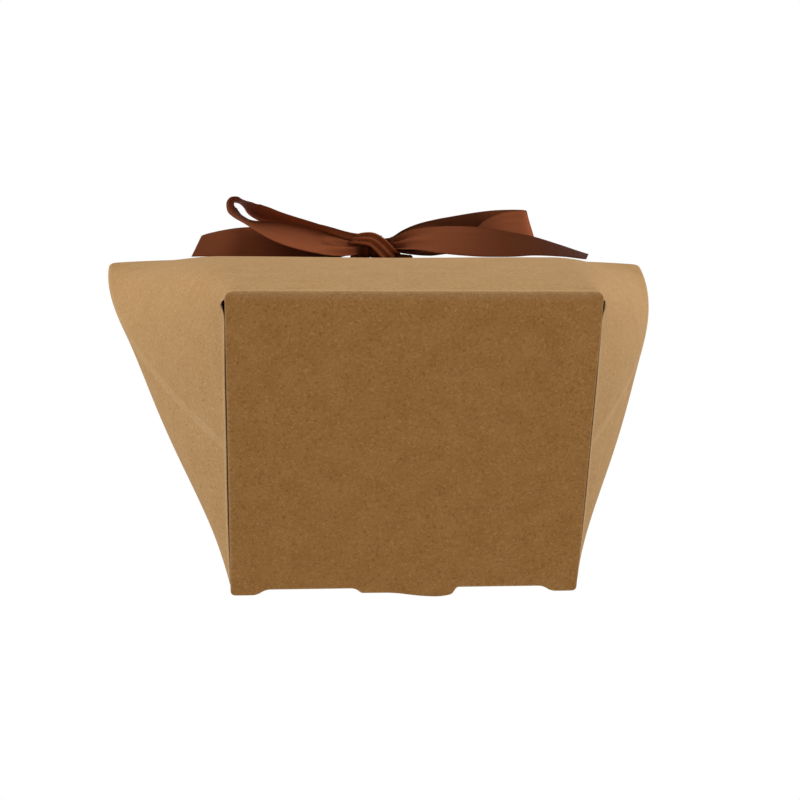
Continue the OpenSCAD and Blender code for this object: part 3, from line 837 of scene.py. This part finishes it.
def ribbon_piece(name, stations, ref, rows, skew=0.0, shade=((0, 0),), **values):
    """A length of ribbon through the stations. Returns the piece and its length. The width
    lies along ref before its turn. skew is how far the far end is cut on the slant, from
    its middle to one edge. shade lists shares of the length, and how much painted shade
    darkens the ribbon there."""
    s = np.linspace(0, len(stations) - 1, rows)
    # One more row close to each end, where the thickness runs out
    s = np.sort(np.concatenate([s, [s[1] * END_SHARE, s[-1] - s[1] * END_SHARE]]))
    q = smooth(stations, s)
    run = unit(smooth(stations, np.minimum(s + STEP_K, s[-1]))[:, :3]
        - smooth(stations, np.maximum(s - STEP_K, 0))[:, :3])
    level = unit(ref - (ref * run).sum(1, keepdims=True) * run)
    turn = np.radians(q[:, 3])[:, None]
    across = np.cos(turn) * level + np.sin(turn) * np.cross(level, run)
    outward = unit(np.cross(run, across))
    # The slanted cut turns the last rows' width towards the run
    near_end = np.clip(1 - (s[-1] - s) / CUT_REACH, 0, 1)[:, None] ** 2
    across = across + near_end * skew / (RIBBON_W / 2) * run
    along = np.concatenate([[0], np.cumsum(np.linalg.norm(np.diff(q[:, :3], axis=0), axis=1))])
    # How much painted shade darkens the ribbon along its length
    deep = np.interp(along / along[-1], *np.array(shade, float).T)
    mesh = bpy.data.meshes.new(name)
    mesh.from_pydata(q[:, :3].tolist(), [], [])
    for label, values_of in (("across", across), ("outward", outward), ("gather", q[:, 4]),
            ("along", along), ("shade", deep)):
        kind, key = ("FLOAT", "value") if values_of.ndim == 1 else ("FLOAT_VECTOR", "vector")
        layer = mesh.attributes.new(label, kind, "POINT")
        layer.data.foreach_set(key, np.ascontiguousarray(values_of, np.float32).ravel())
    source = linked(name + "_way", mesh)
    sweep = source.modifiers.new("sweep", "NODES")
    sweep.node_group = RIBBON_TREE
    sockets = {i.name: i.identifier for i in RIBBON_TREE.interface.items_tree if i.in_out == "INPUT"}
    for label, value in {"Material": satin, **values}.items():
        sweep[sockets[label.replace("_", " ")]] = value
    graph = bpy.context.evaluated_depsgraph_get()
    made = bpy.data.meshes.new_from_object(source.evaluated_get(graph))
    bpy.data.objects.remove(source)
    faces_out = bmesh.new()
    faces_out.from_mesh(made)
    bmesh.ops.recalc_face_normals(faces_out, faces=faces_out.faces)
    faces_out.to_mesh(made)
    faces_out.free()
    return linked(name, made), float(along[-1])


# Pulp: how thin the fibres' lines are, where they break off, and the flecks' warp and edge
FIBRE_LINE = (0.008, 0.04)
FIBRE_BREAKS = (0.53, 0.62)
FLECK_WARP = 1.2 * MM
FLECK_EDGE = 0.02


def fibre_group():
    """Paper pulp: cloudy patches, fine grain, short curly fibres and flecks."""
    tree, add, given = group_of("paper_fibres", "Shader", {"Position": (0, 0, 0), "Cloud Size": 9 * MM,
        "Fibre Size": 1.1 * MM, "Fleck Gap": 7 * MM},
        ["Clouds", "Grain", "Pale Fibres", "Dark Fibres", "Pale Flecks", "Dark Flecks", "Height"])
    place, fibre = given["Position"], given["Fibre Size"]

    def noise(size, shift, detail=2.0, rough=0.5, distortion=0.0):
        spot = vector_sum(place, (shift, shift * 0.7, -shift))
        return add("ShaderNodeTexNoise", {"Vector": spot, "Scale": calc("DIVIDE", 1.0, size),
            "Detail": detail, "Roughness": rough, "Distortion": distortion}).outputs["Fac"]

    def fibres(shift):
        """Thin curly lines where a noise crosses its mean, broken up by a second noise."""
        off = calc("ABSOLUTE", minus(noise(fibre, shift, 1.0, 0.5, 0.6), 0.5))
        line = minus(1.0, spread(off, *FIBRE_LINE))
        return times(line, spread(noise(times(fibre, 0.8), shift + 0.37, 0.0), *FIBRE_BREAKS))

    def flecks(reach, shift, power):
        """Spots up to reach wide, with ragged edges. A high power leaves few large ones."""
        warp = add("ShaderNodeTexNoise", {"Vector": place, "Scale": 900.0, "Detail": 1.0}).outputs["Color"]
        spot = vector_sum(vector_sum(place, (shift, shift, shift)), vector_scale(warp, FLECK_WARP))
        cells = add("ShaderNodeTexVoronoi", {"Vector": spot, "Randomness": 1.0,
            "Scale": calc("DIVIDE", 1.0, given["Fleck Gap"])}).outputs
        chance = add("ShaderNodeSeparateColor", {0: cells["Color"]}).outputs[0]
        size = times(calc("POWER", chance, power), reach)
        return spread(minus(size, cells["Distance"]), 0.0, FLECK_EDGE)

    clouds = spread(noise(given["Cloud Size"], 0.0, 4.0, 0.62), 0.3, 0.7)
    grain = spread(noise(times(fibre, 0.4), 0.13, 2.0, 0.6), 0.25, 0.75)
    pale = calc("MAXIMUM", fibres(0.21), fibres(0.83))
    dark = calc("MAXIMUM", fibres(1.47), fibres(2.09))
    raised = minus(plus(grain, times(pale, 0.6)), times(dark, 0.5))
    add("NodeGroupOutput", {"Clouds": clouds, "Grain": grain, "Pale Fibres": pale, "Dark Fibres": dark,
        "Pale Flecks": flecks(0.045, 0.31, 2.0), "Dark Flecks": flecks(0.05, 0.0, 3.0), "Height": raised})
    return tree


FIBRES = fibre_group()


def board_material(name, pale, dark, edge, cloud_size):
    """Uncoated kraft board. The colours are its pale and dark pulp and its pale edges and folds, partly worn
    and partly painted highlight.
    """
    m, add, shader = new_material(name)
    place = add("ShaderNodeTexCoord").outputs["Object"]
    part = add("ShaderNodeGroup", {"Cloud Size": cloud_size, "Position": place}, node_tree=FIBRES).outputs
    grain = part["Grain"]
    colour = mixed(plus(times(part["Clouds"], 0.45), times(grain, 0.55)), dark, pale)
    pale_fibre = tinted(pale, 1.3, 0.01)
    for label, share, tint in (("Pale Fibres", 0.5, pale_fibre), ("Dark Fibres", 0.55, tinted(dark, 0.62)),
            ("Pale Flecks", 0.5, pale_fibre), ("Dark Flecks", 0.75, tinted(dark, 0.3))):
        colour = mixed(times(part[label], share), colour, tint)
    # Cut edges and folds are made paler: partly worn board, partly painted highlight where they catch the
    # light
    wear_and_highlight = add("ShaderNodeAttribute", attribute_name="wear_and_highlight").outputs["Fac"]
    ragged = plus(times(grain, 0.6), 0.4)
    colour = mixed(times(wear_and_highlight, times(ragged, 0.75)), colour, edge)
    bump = add("ShaderNodeBump", {"Strength": 0.35, "Distance": 0.1 * MM, "Height": part["Height"]})
    fill(shader, {"Base Color": colour, "Roughness": plus(times(grain, 0.12), 0.78),
        "Specular IOR Level": 0.18, "Normal": bump.outputs["Normal"]})
    return m


# How often a slub's streaks change across the ribbon and along it, per metre
SLUB_ACROSS = 3000.0
SLUB_ALONG = 60.0


def weave_group():
    """Woven satin: threads along and across the ribbon, and a tighter woven edge."""
    tree, add, given = group_of("satin_weave", "Shader", {"Across": 0.0, "Along": 0.0, "Width": RIBBON_W,
        "Thread": 0.16 * MM, "Edge Width": 0.45 * MM}, ["Slubs", "Edge", "Height"])
    warp = calc("SINE", times(calc("DIVIDE", given["Across"], given["Thread"]), math.tau))
    weft_gap = times(given["Thread"], 1.7)
    weft = calc("SINE", times(calc("DIVIDE", given["Along"], weft_gap), math.tau))
    inset = minus(times(given["Width"], 0.5), calc("ABSOLUTE", given["Across"]))
    edge = spread(inset, given["Edge Width"], times(given["Edge Width"], 0.6))
    # Slubs are long streaks in the warp, so they vary slowly along and fast across
    spot = add("ShaderNodeCombineXYZ", {0: times(given["Across"], SLUB_ACROSS),
        1: times(given["Along"], SLUB_ALONG)}).outputs[0]
    slubs = add("ShaderNodeTexNoise", {"Vector": spot, "Scale": 1.0, "Detail": 3.0}).outputs["Fac"]
    height = plus(times(warp, minus(1.0, edge)), times(weft, edge))
    add("NodeGroupOutput", {"Slubs": slubs, "Edge": edge, "Height": height})
    return tree


def satin_material(name, deep, bright):
    """Satin. The colours are its dark and bright threads."""
    m, add, shader = new_material(name)
    weave = add("ShaderNodeGroup", node_tree=weave_group())
    for label, attribute in (("Across", "flat_x"), ("Along", "flat_y")):
        fill(weave, {label: add("ShaderNodeAttribute", attribute_name=attribute).outputs["Fac"]})
    part = weave.outputs
    tone = spread(part["Slubs"], 0.1, 0.9)
    colour = mixed(tone, deep, bright)
    colour = mixed(times(part["Edge"], 0.5), colour, tinted(deep, 0.7))
    # Painted shade: the ribbon is darkened towards a near-black brown where its shade attribute says
    folded_in = add("ShaderNodeAttribute", attribute_name="folded_in").outputs["Fac"]
    colour = mixed(folded_in, colour, tinted(deep, 0.12))
    rough = plus(times(tone, 0.08), plus(0.44, times(part["Edge"], 0.15)))
    bump = add("ShaderNodeBump", {"Strength": 0.25, "Distance": 0.03 * MM, "Height": part["Height"]})
    fill(shader, {"Base Color": colour, "Roughness": rough, "Metallic": 0.2, "Specular IOR Level": 0.01,
        "Specular Tint": (0.35, 0.14, 0.07, 1), "Sheen Weight": 0.03, "Sheen Roughness": 0.4,
        "Sheen Tint": (1.0, 0.45, 0.25, 1), "Normal": bump.outputs["Normal"]})
    return m


kraft = board_material("kraft_board", pale=(0.53, 0.318, 0.138, 1), dark=(0.44, 0.242, 0.085, 1),
    edge=(0.66, 0.44, 0.24, 1), cloud_size=9 * MM)
# The base panel, the tuck flap and the dust flaps get a darker, more saturated copy of the same board:
# painted shade on the underside
kraft_base = board_material("kraft_base", pale=(0.504, 0.257, 0.083, 1), dark=(0.376, 0.163, 0.037, 1),
    edge=(0.60, 0.38, 0.19, 1), cloud_size=7 * MM)
satin = satin_material("satin_ribbon", deep=(0.24, 0.066, 0.026, 1), bright=(0.34, 0.106, 0.046, 1))


def dress(piece, node, body, look):
    """The piece gets its finish, stands for its CAD node and moves with its body."""
    piece.data.materials.clear()
    piece.data.materials.append(look)
    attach(piece, body)
    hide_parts(node)


for label, sy, foot, folded in (("front", -1, 0, True), ("back", 1, BACK_Z, False)):
    holes = hole_loops(foot, folded)
    wall = wall_piece(label + "_wall", sy, WALL_COLUMNS, foot, folded, holes)
    dress(wall, label + "_panel", "carton", kraft)

for side, sx, columns in (("left", -1, -SIDE_COLUMNS[::-1]), ("right", 1, SIDE_COLUMNS)):
    for label, sy in (("front", -1), ("back", 1)):
        notch_shares = ((0, -FOLD_END), (0.5, NOTCH_H), (1, -FOLD_END)) if sy < 0 else ()
        notch = [(sx * (2 + s * NOTCH_K), h) for s, h in notch_shares]
        wall = wall_piece(f"{side}_wall_{label}", sy, columns, SIDE_Z, True, (), notch[::sx])
        dress(wall, f"side_{side}_{label}", "carton", kraft)

glue_rows = np.linspace(GLUE_END_GAP, CARTON_H - GLUE_END_GAP, 40)
glue_outline = [(s, glue_rows[0]) for s in GLUE_COLUMNS] + [(1, z) for z in glue_rows[1:-1]]
glue_outline += [(s, glue_rows[-1]) for s in GLUE_COLUMNS[::-1]]
glue_outline += [(0, z) for z in glue_rows[-2:0:-1]]
glue_grid = [(s, z) for s in GLUE_COLUMNS[1:-1] for z in glue_rows[1:-1]]
glue = board_piece("glue_strip", glue_outline, glue_grid, glue_place, True)
dress(glue, "glue_flap", "carton", kraft)

base = flap_piece("base_board", base_outline(), base_place, True, wall_soft, fold_rim, fold_crease,
    BASE_GRID)
dress(base, "base_panel", "base", kraft_base)
tuck = flap_piece("tuck_board", tuck_outline(), tuck_place, True)
dress(tuck, "tuck_flap", "tuck", kraft_base)

for side, sx in (("left", -1), ("right", 1)):
    dust = flap_piece("dust_board_" + side, dust_outline(), dust_place(sx), sx < 0,
        lambda a, b: wall_soft(b, a), lambda a, b: fold_rim(b, a))
    dress(dust, "dust_flap_" + side, "dust_" + side, kraft_base)

# The direction along the box
SIDEWAYS = np.array([1.0, 0, 0])


def ribbon(node, label, stations, ref, rows, rests_on, held="gathered", **looks):
    """A stretch of the ribbon, dressed as its CAD node."""
    piece, length = ribbon_piece("ribbon_" + label, stations, ref, rows, **looks)
    dress(piece, node, "carton", satin)


# Each shade list paints shade onto stretches of its ribbon, as shares of the length and darkness
for name, shares, sx, reach, rise, ref, rows, looks in (
        ("bow_loop_left", LOOP_LEFT_SHARES, -1, LOOP_LEFT, RISE_LEFT, UP, 260, {"Pleats": 2.0,
            "Pleat_Shift": 0.9, "shade": [(0, 0.4), (0.1, 0), (0.75, 0), (0.83, 0.15), (0.93, 0.3),
            (1, 0.6)]}),
        ("bow_loop_right", LOOP_RIGHT_SHARES, 1, LOOP_RIGHT, RISE_RIGHT, OUT, 240, {"Pleats": 2.5,
            "Pleat_Shift": 2.0, "shade": [(0, 0.8), (0.3, 0.75), (0.42, 0.1), (0.62, 0), (0.68, 0.55),
            (0.8, 0.6), (0.9, 0.25), (1, 0.6)]}),
        ("bow_tail_left", TAIL_LEFT_SHARES, -1, TAIL_LEFT, RISE_TAIL, UP, 150, {"Pleats": 2.0,
            "skew": CUT_SKEW, "shade": [(0, 0.85), (0.2, 0.8), (0.38, 0.72), (0.55, 0.45), (0.7, 0.38),
            (1, 0.55)]}),
        ("bow_tail_right", TAIL_RIGHT_SHARES, 1, TAIL_RIGHT, RISE_TAIL, UP, 150, {"Pleats": 2.0,
            "Pleat_Shift": 1.4, "skew": CUT_SKEW_RIGHT, "shade": [(0, 0.7), (0.06, 0.35), (0.15, 0.3),
            (0.4, 0.42), (0.6, 0.7), (1, 0.92)]})):
    ribbon(name, name, bow_stations(shares, sx, reach, rise), ref, rows, "front_panel", **looks)

# The knot. A pleated band comes off the left loop, crosses in front and slants down to
# the wall on the right. Rows are along the box, up the wall and off the wall, in
# millimetres, then the gathering.
KNOT_BAND = [[-9.4, 0.9, 5.4, 0.32], [-8.2, -1.7, 5.9, 0.32], [-6.2, -3.7, 6.2, 0.36],
    [-3.2, -4.7, 6.0, 0.42], [-1.0, -4.7, 4.6, 0.46], [0.7, -4.5, 2.9, 0.48],
    [2.1, -4, 1.5, 0.48], [3.2, -2.6, 0.8, 0.48], [3.7, -0.6, 0.6, 0.45]]
band_stations = [[*bow_place(x * MM, u * MM, o * MM), 0, g] for x, u, o, g in KNOT_BAND]
# Painted shade darkens both ends of the band
ribbon("bow_knot", "knot_band", band_stations, unit(SIDEWAYS + OUT), 160, "bow_loop_left",
    shade=[(0, 0.5), (0.2, 0.15), (0.4, 0), (0.85, 0.1), (1, 0.5)],
    Pleats=2.4, Pleat_Shift=1.1, Pleat_Depth=0.8)

# Behind that band, two turns of the ribbon lie deep in the knot. Each goes round a little
# more than once from a first angle, and widens on its way.
TURN_START = 1.2
TURN_ROUND = 1.08
TURN_STATIONS = 15
TURN_REACH = 0.93
TURN_WIDENS = 0.07
for label, middle, radius, gather, pleats in (
        ("left", -3.7 * MM, 3.3 * MM, 0.72, 3.0), ("right", 1.2 * MM, 2.6 * MM, 0.54, 2.0)):
    knot_stations = []
    for share in np.linspace(0, TURN_ROUND, TURN_STATIONS):
        turn = math.tau * share + TURN_START
        reach = radius * (TURN_REACH + TURN_WIDENS * share)
        spot = bow_place(middle, 0, KNOT_DEEP_OUT) + reach * (math.cos(turn) * OUT + math.sin(turn) * UP)
        knot_stations.append([*spot, 0, gather])
    # Painted shade darkens both turns all over
    ribbon("bow_knot", "knot_" + label, knot_stations, SIDEWAYS, 140, "bow_loop_left",
        shade=[(0, 0.85)], Pleats=pleats, Pleat_Shift=0.6, Pleat_Depth=0.7, Cup=-0.6 * MM)

# Behind the box the ribbon lies across the back wall from hole to hole
STRAND_SHARE = 0.38
BACK_RISE = 1.5 * BOARD_T + 0.4 * MM
span_half = [[1, 0.3, STRAND_SHARE], [0.94, 0.8, 0.5], [0.68, 1, 0.85], [0.3, 1, 1], [0, 1, 1]]
span_stations = [[sx * x * HOLE_SPACING / 2, -BOW_AT[1] + off * BACK_RISE, BOW_AT[2], 0, gather]
    for sx, shares in ((1, span_half), (-1, span_half[-2::-1])) for x, off, gather in shares]
ribbon("ribbon_back_span", "span_back", span_stations,
    np.array([0, -math.sin(BOW_LEAN), math.cos(BOW_LEAN)]), 90, "back_panel", "stretched")

# Each strand comes straight through both walls, and turns along the front wall to the knot
LOW_OUT = 0.55 * MM
for side, sx in (("left", -1), ("right", 1)):
    x = sx * HOLE_SPACING / 2
    back_end = np.array([x, -BOW_AT[1], BOW_AT[2]])
    front_end = np.array([x, BOW_AT[1], BOW_AT[2]])
    spots = [(back_end, 0), ((back_end + front_end) / 2, 0), (front_end, 0),
        (bow_place(x, 0, LOW_OUT * 2 / 3), -30 * sx),
        (bow_place(knot_face(sx) - sx * MM, 0, LOW_OUT), -50 * sx)]
    # Painted shade darkens each strand, most where it reaches the knot
    ribbon("ribbon_strand_" + side, "through_" + side, [[*p, turn, STRAND_SHARE] for p, turn in spots],
        UP, 80, "front_panel", shade=[(0, 0.2), (0.75, 0.2), (0.85, 0.6), (1, 0.9)], Pleats=6.0)

# The camera stands where the photograph was taken from
FOCAL_PX = 1493.4
IMAGE_PX = 800
CAMERA_TILT = math.radians(25.28)
CAMERA_TURN = math.radians(-4.67)
CAMERA_ROLL = math.radians(-0.25)
CAMERA_OFFSET = np.array([2.5, -11.2, 352.8]) * MM


def photo_camera():
    """The view of the photograph, from the tilt, turn and roll that were solved from it."""
    ahead = np.array([0, math.sin(CAMERA_TILT), math.cos(CAMERA_TILT)])
    above = np.array([0, -math.cos(CAMERA_TILT), math.sin(CAMERA_TILT)])
    right = SIDEWAYS
    turned = right * math.cos(CAMERA_TURN) + ahead * math.sin(CAMERA_TURN)
    ahead = ahead * math.cos(CAMERA_TURN) - right * math.sin(CAMERA_TURN)
    right = turned * math.cos(CAMERA_ROLL) + above * math.sin(CAMERA_ROLL)
    above = above * math.cos(CAMERA_ROLL) - turned * math.sin(CAMERA_ROLL)
    place = -CAMERA_OFFSET @ np.stack([right, above, ahead])
    data = bpy.data.cameras.new("camera")
    data.sensor_width = 36
    data.lens = FOCAL_PX / IMAGE_PX * data.sensor_width
    data.clip_start = 0.01
    camera = linked("camera", data)
    axes = np.eye(4)
    axes[:3, 0], axes[:3, 1], axes[:3, 2], axes[:3, 3] = right, above, -ahead, place
    camera.matrix_world = Matrix(axes.tolist())
    bpy.context.scene.camera = camera


# Each lamp's place, size and power
LAMPS = {
    "key_lamp": ((0.1, -0.7, 0.65), 0.7, 1.3),
    "front_lamp": ((0, -1.0, -0.1), 0.6, 2.0),
    "left_lamp": ((-0.8, -0.1, 0.1), 0.6, 3.1),
    "right_lamp": ((0.8, -0.1, 0.1), 0.6, 3.1),
    "back_lamp": ((0, 0.9, 0.5), 0.7, 2.6),
    "low_lamp": ((0, -0.3, -0.8), 0.8, 0.88)}
# The floor's half width, its level, and the distances between which it fades out
FLOOR_REACH = 3.0
FLOOR_LEVEL = -0.1 * MM
FLOOR_FADE = (0.25, 1.1)
# How bright the white surround is as a lamp, against how it looks to the camera
SURROUND_LIGHT = 0.42


def studio():
    """A pale floor that only shows from above, a white surround and soft lamps."""
    floor_mesh = bpy.data.meshes.new("floor")
    floor_mesh.from_pydata([(x * FLOOR_REACH, y * FLOOR_REACH, FLOOR_LEVEL)
        for x, y in ((-1, -1), (1, -1), (1, 1), (-1, 1))], [], [(0, 1, 2, 3)])
    floor = linked("floor", floor_mesh)
    floor.visible_diffuse = floor.visible_shadow = floor.visible_transmission = False
    pale, add, shader = new_material("pale_floor")
    fill(shader, {"Base Color": (0.8, 0.8, 0.79, 1), "Roughness": 0.9})
    clear = add("ShaderNodeBsdfTransparent").outputs[0]
    below = add("ShaderNodeNewGeometry").outputs["Backfacing"]
    # The floor fades out well away from the box
    place = add("ShaderNodeTexCoord").outputs["Object"]
    away = add("ShaderNodeVectorMath", {0: place}, operation="LENGTH").outputs["Value"]
    faded = spread(away, *FLOOR_FADE, interpolation_type="SMOOTHSTEP")
    mix = add("ShaderNodeMixShader", {0: calc("MAXIMUM", below, faded), 1: shader.outputs[0], 2: clear})
    fill(pale.node_tree.nodes["Material Output"], {"Surface": mix.outputs[0]})
    floor_mesh.materials.append(pale)

    world = bpy.data.worlds.new("surround")
    world.use_nodes = True
    bpy.context.scene.world = world
    tree = world.node_tree
    path = add_node(tree, "ShaderNodeLightPath").outputs
    seen = calc("MAXIMUM", calc("MAXIMUM", path["Is Camera Ray"], path["Is Glossy Ray"]),
        path["Is Transmission Ray"])
    strength = add_node(tree, "ShaderNodeMix", {0: seen, 2: SURROUND_LIGHT, 3: 1.0}).outputs[0]
    fill(tree.nodes["Background"], {"Color": (1, 1, 1, 1), "Strength": strength})

    for name, (place, size, power) in LAMPS.items():
        data = bpy.data.lights.new(name, "AREA")
        data.shape = "DISK"
        data.size = size
        data.energy = power
        lamp = linked(name, data)
        aim = Vector(np.array([0, 0, CARTON_H / 2]) - place)
        lamp.matrix_world = Matrix.Translation(place) @ aim.to_track_quat("-Z", "Y").to_matrix().to_4x4()
        lamp.visible_camera = False


photo_camera()
studio()
bpy.context.scene.view_settings.view_transform = "Standard"
